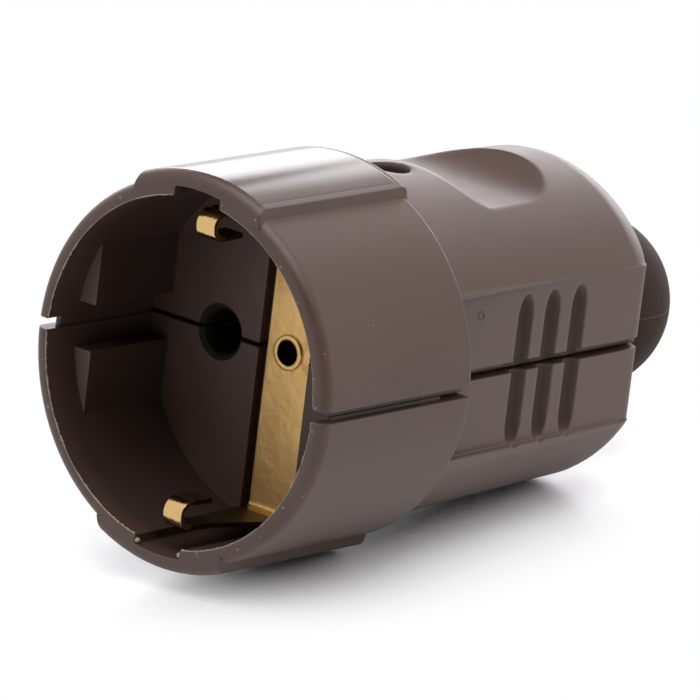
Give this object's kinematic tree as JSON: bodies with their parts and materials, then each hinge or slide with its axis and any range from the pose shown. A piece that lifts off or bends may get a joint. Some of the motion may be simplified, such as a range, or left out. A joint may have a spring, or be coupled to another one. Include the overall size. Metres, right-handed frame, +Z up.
{
  "type": "inline socket connector",
  "caption": "Cord-end inline socket: split brown housing with a round plug well, curled brass earth clips, side grip grooves, thumb scoop and a ball-shaped cord gland.",
  "frame": {"origin": "centre of the plug well's rim, on the well's axis", "axes": "+Y along the axis from the rim to the cord gland, +Z up towards the half with the thumb scoop, +X to the right when looking into the well"},
  "size_m": [0.0424, 0.0783, 0.0446],
  "materials": {
    "shell": "satin moulded",
    "earth_brass": "rolled",
    "contact_brass": "turned",
    "spring_steel": "plain",
    "screw_steel": "zinc plated",
    "clamp_plastic": "satin moulded",
    "gland": "soft moulded"
  },
  "bodies": {
    "root": {"upper_shell": "shell", "lower_shell": "shell", "earth_strap": "earth_brass", "earth_post": "earth_brass", "left_contact_sleeve": "contact_brass", "right_contact_sleeve": "contact_brass", "left_contact_spring": "spring_steel", "right_contact_spring": "spring_steel", "terminal_screws": "screw_steel", "housing_screw": "screw_steel", "housing_nut": "screw_steel", "cord_clamp_bar": "clamp_plastic", "clamp_screws": "screw_steel", "cord_grommet": "gland"}
  },
  "joints": []
}
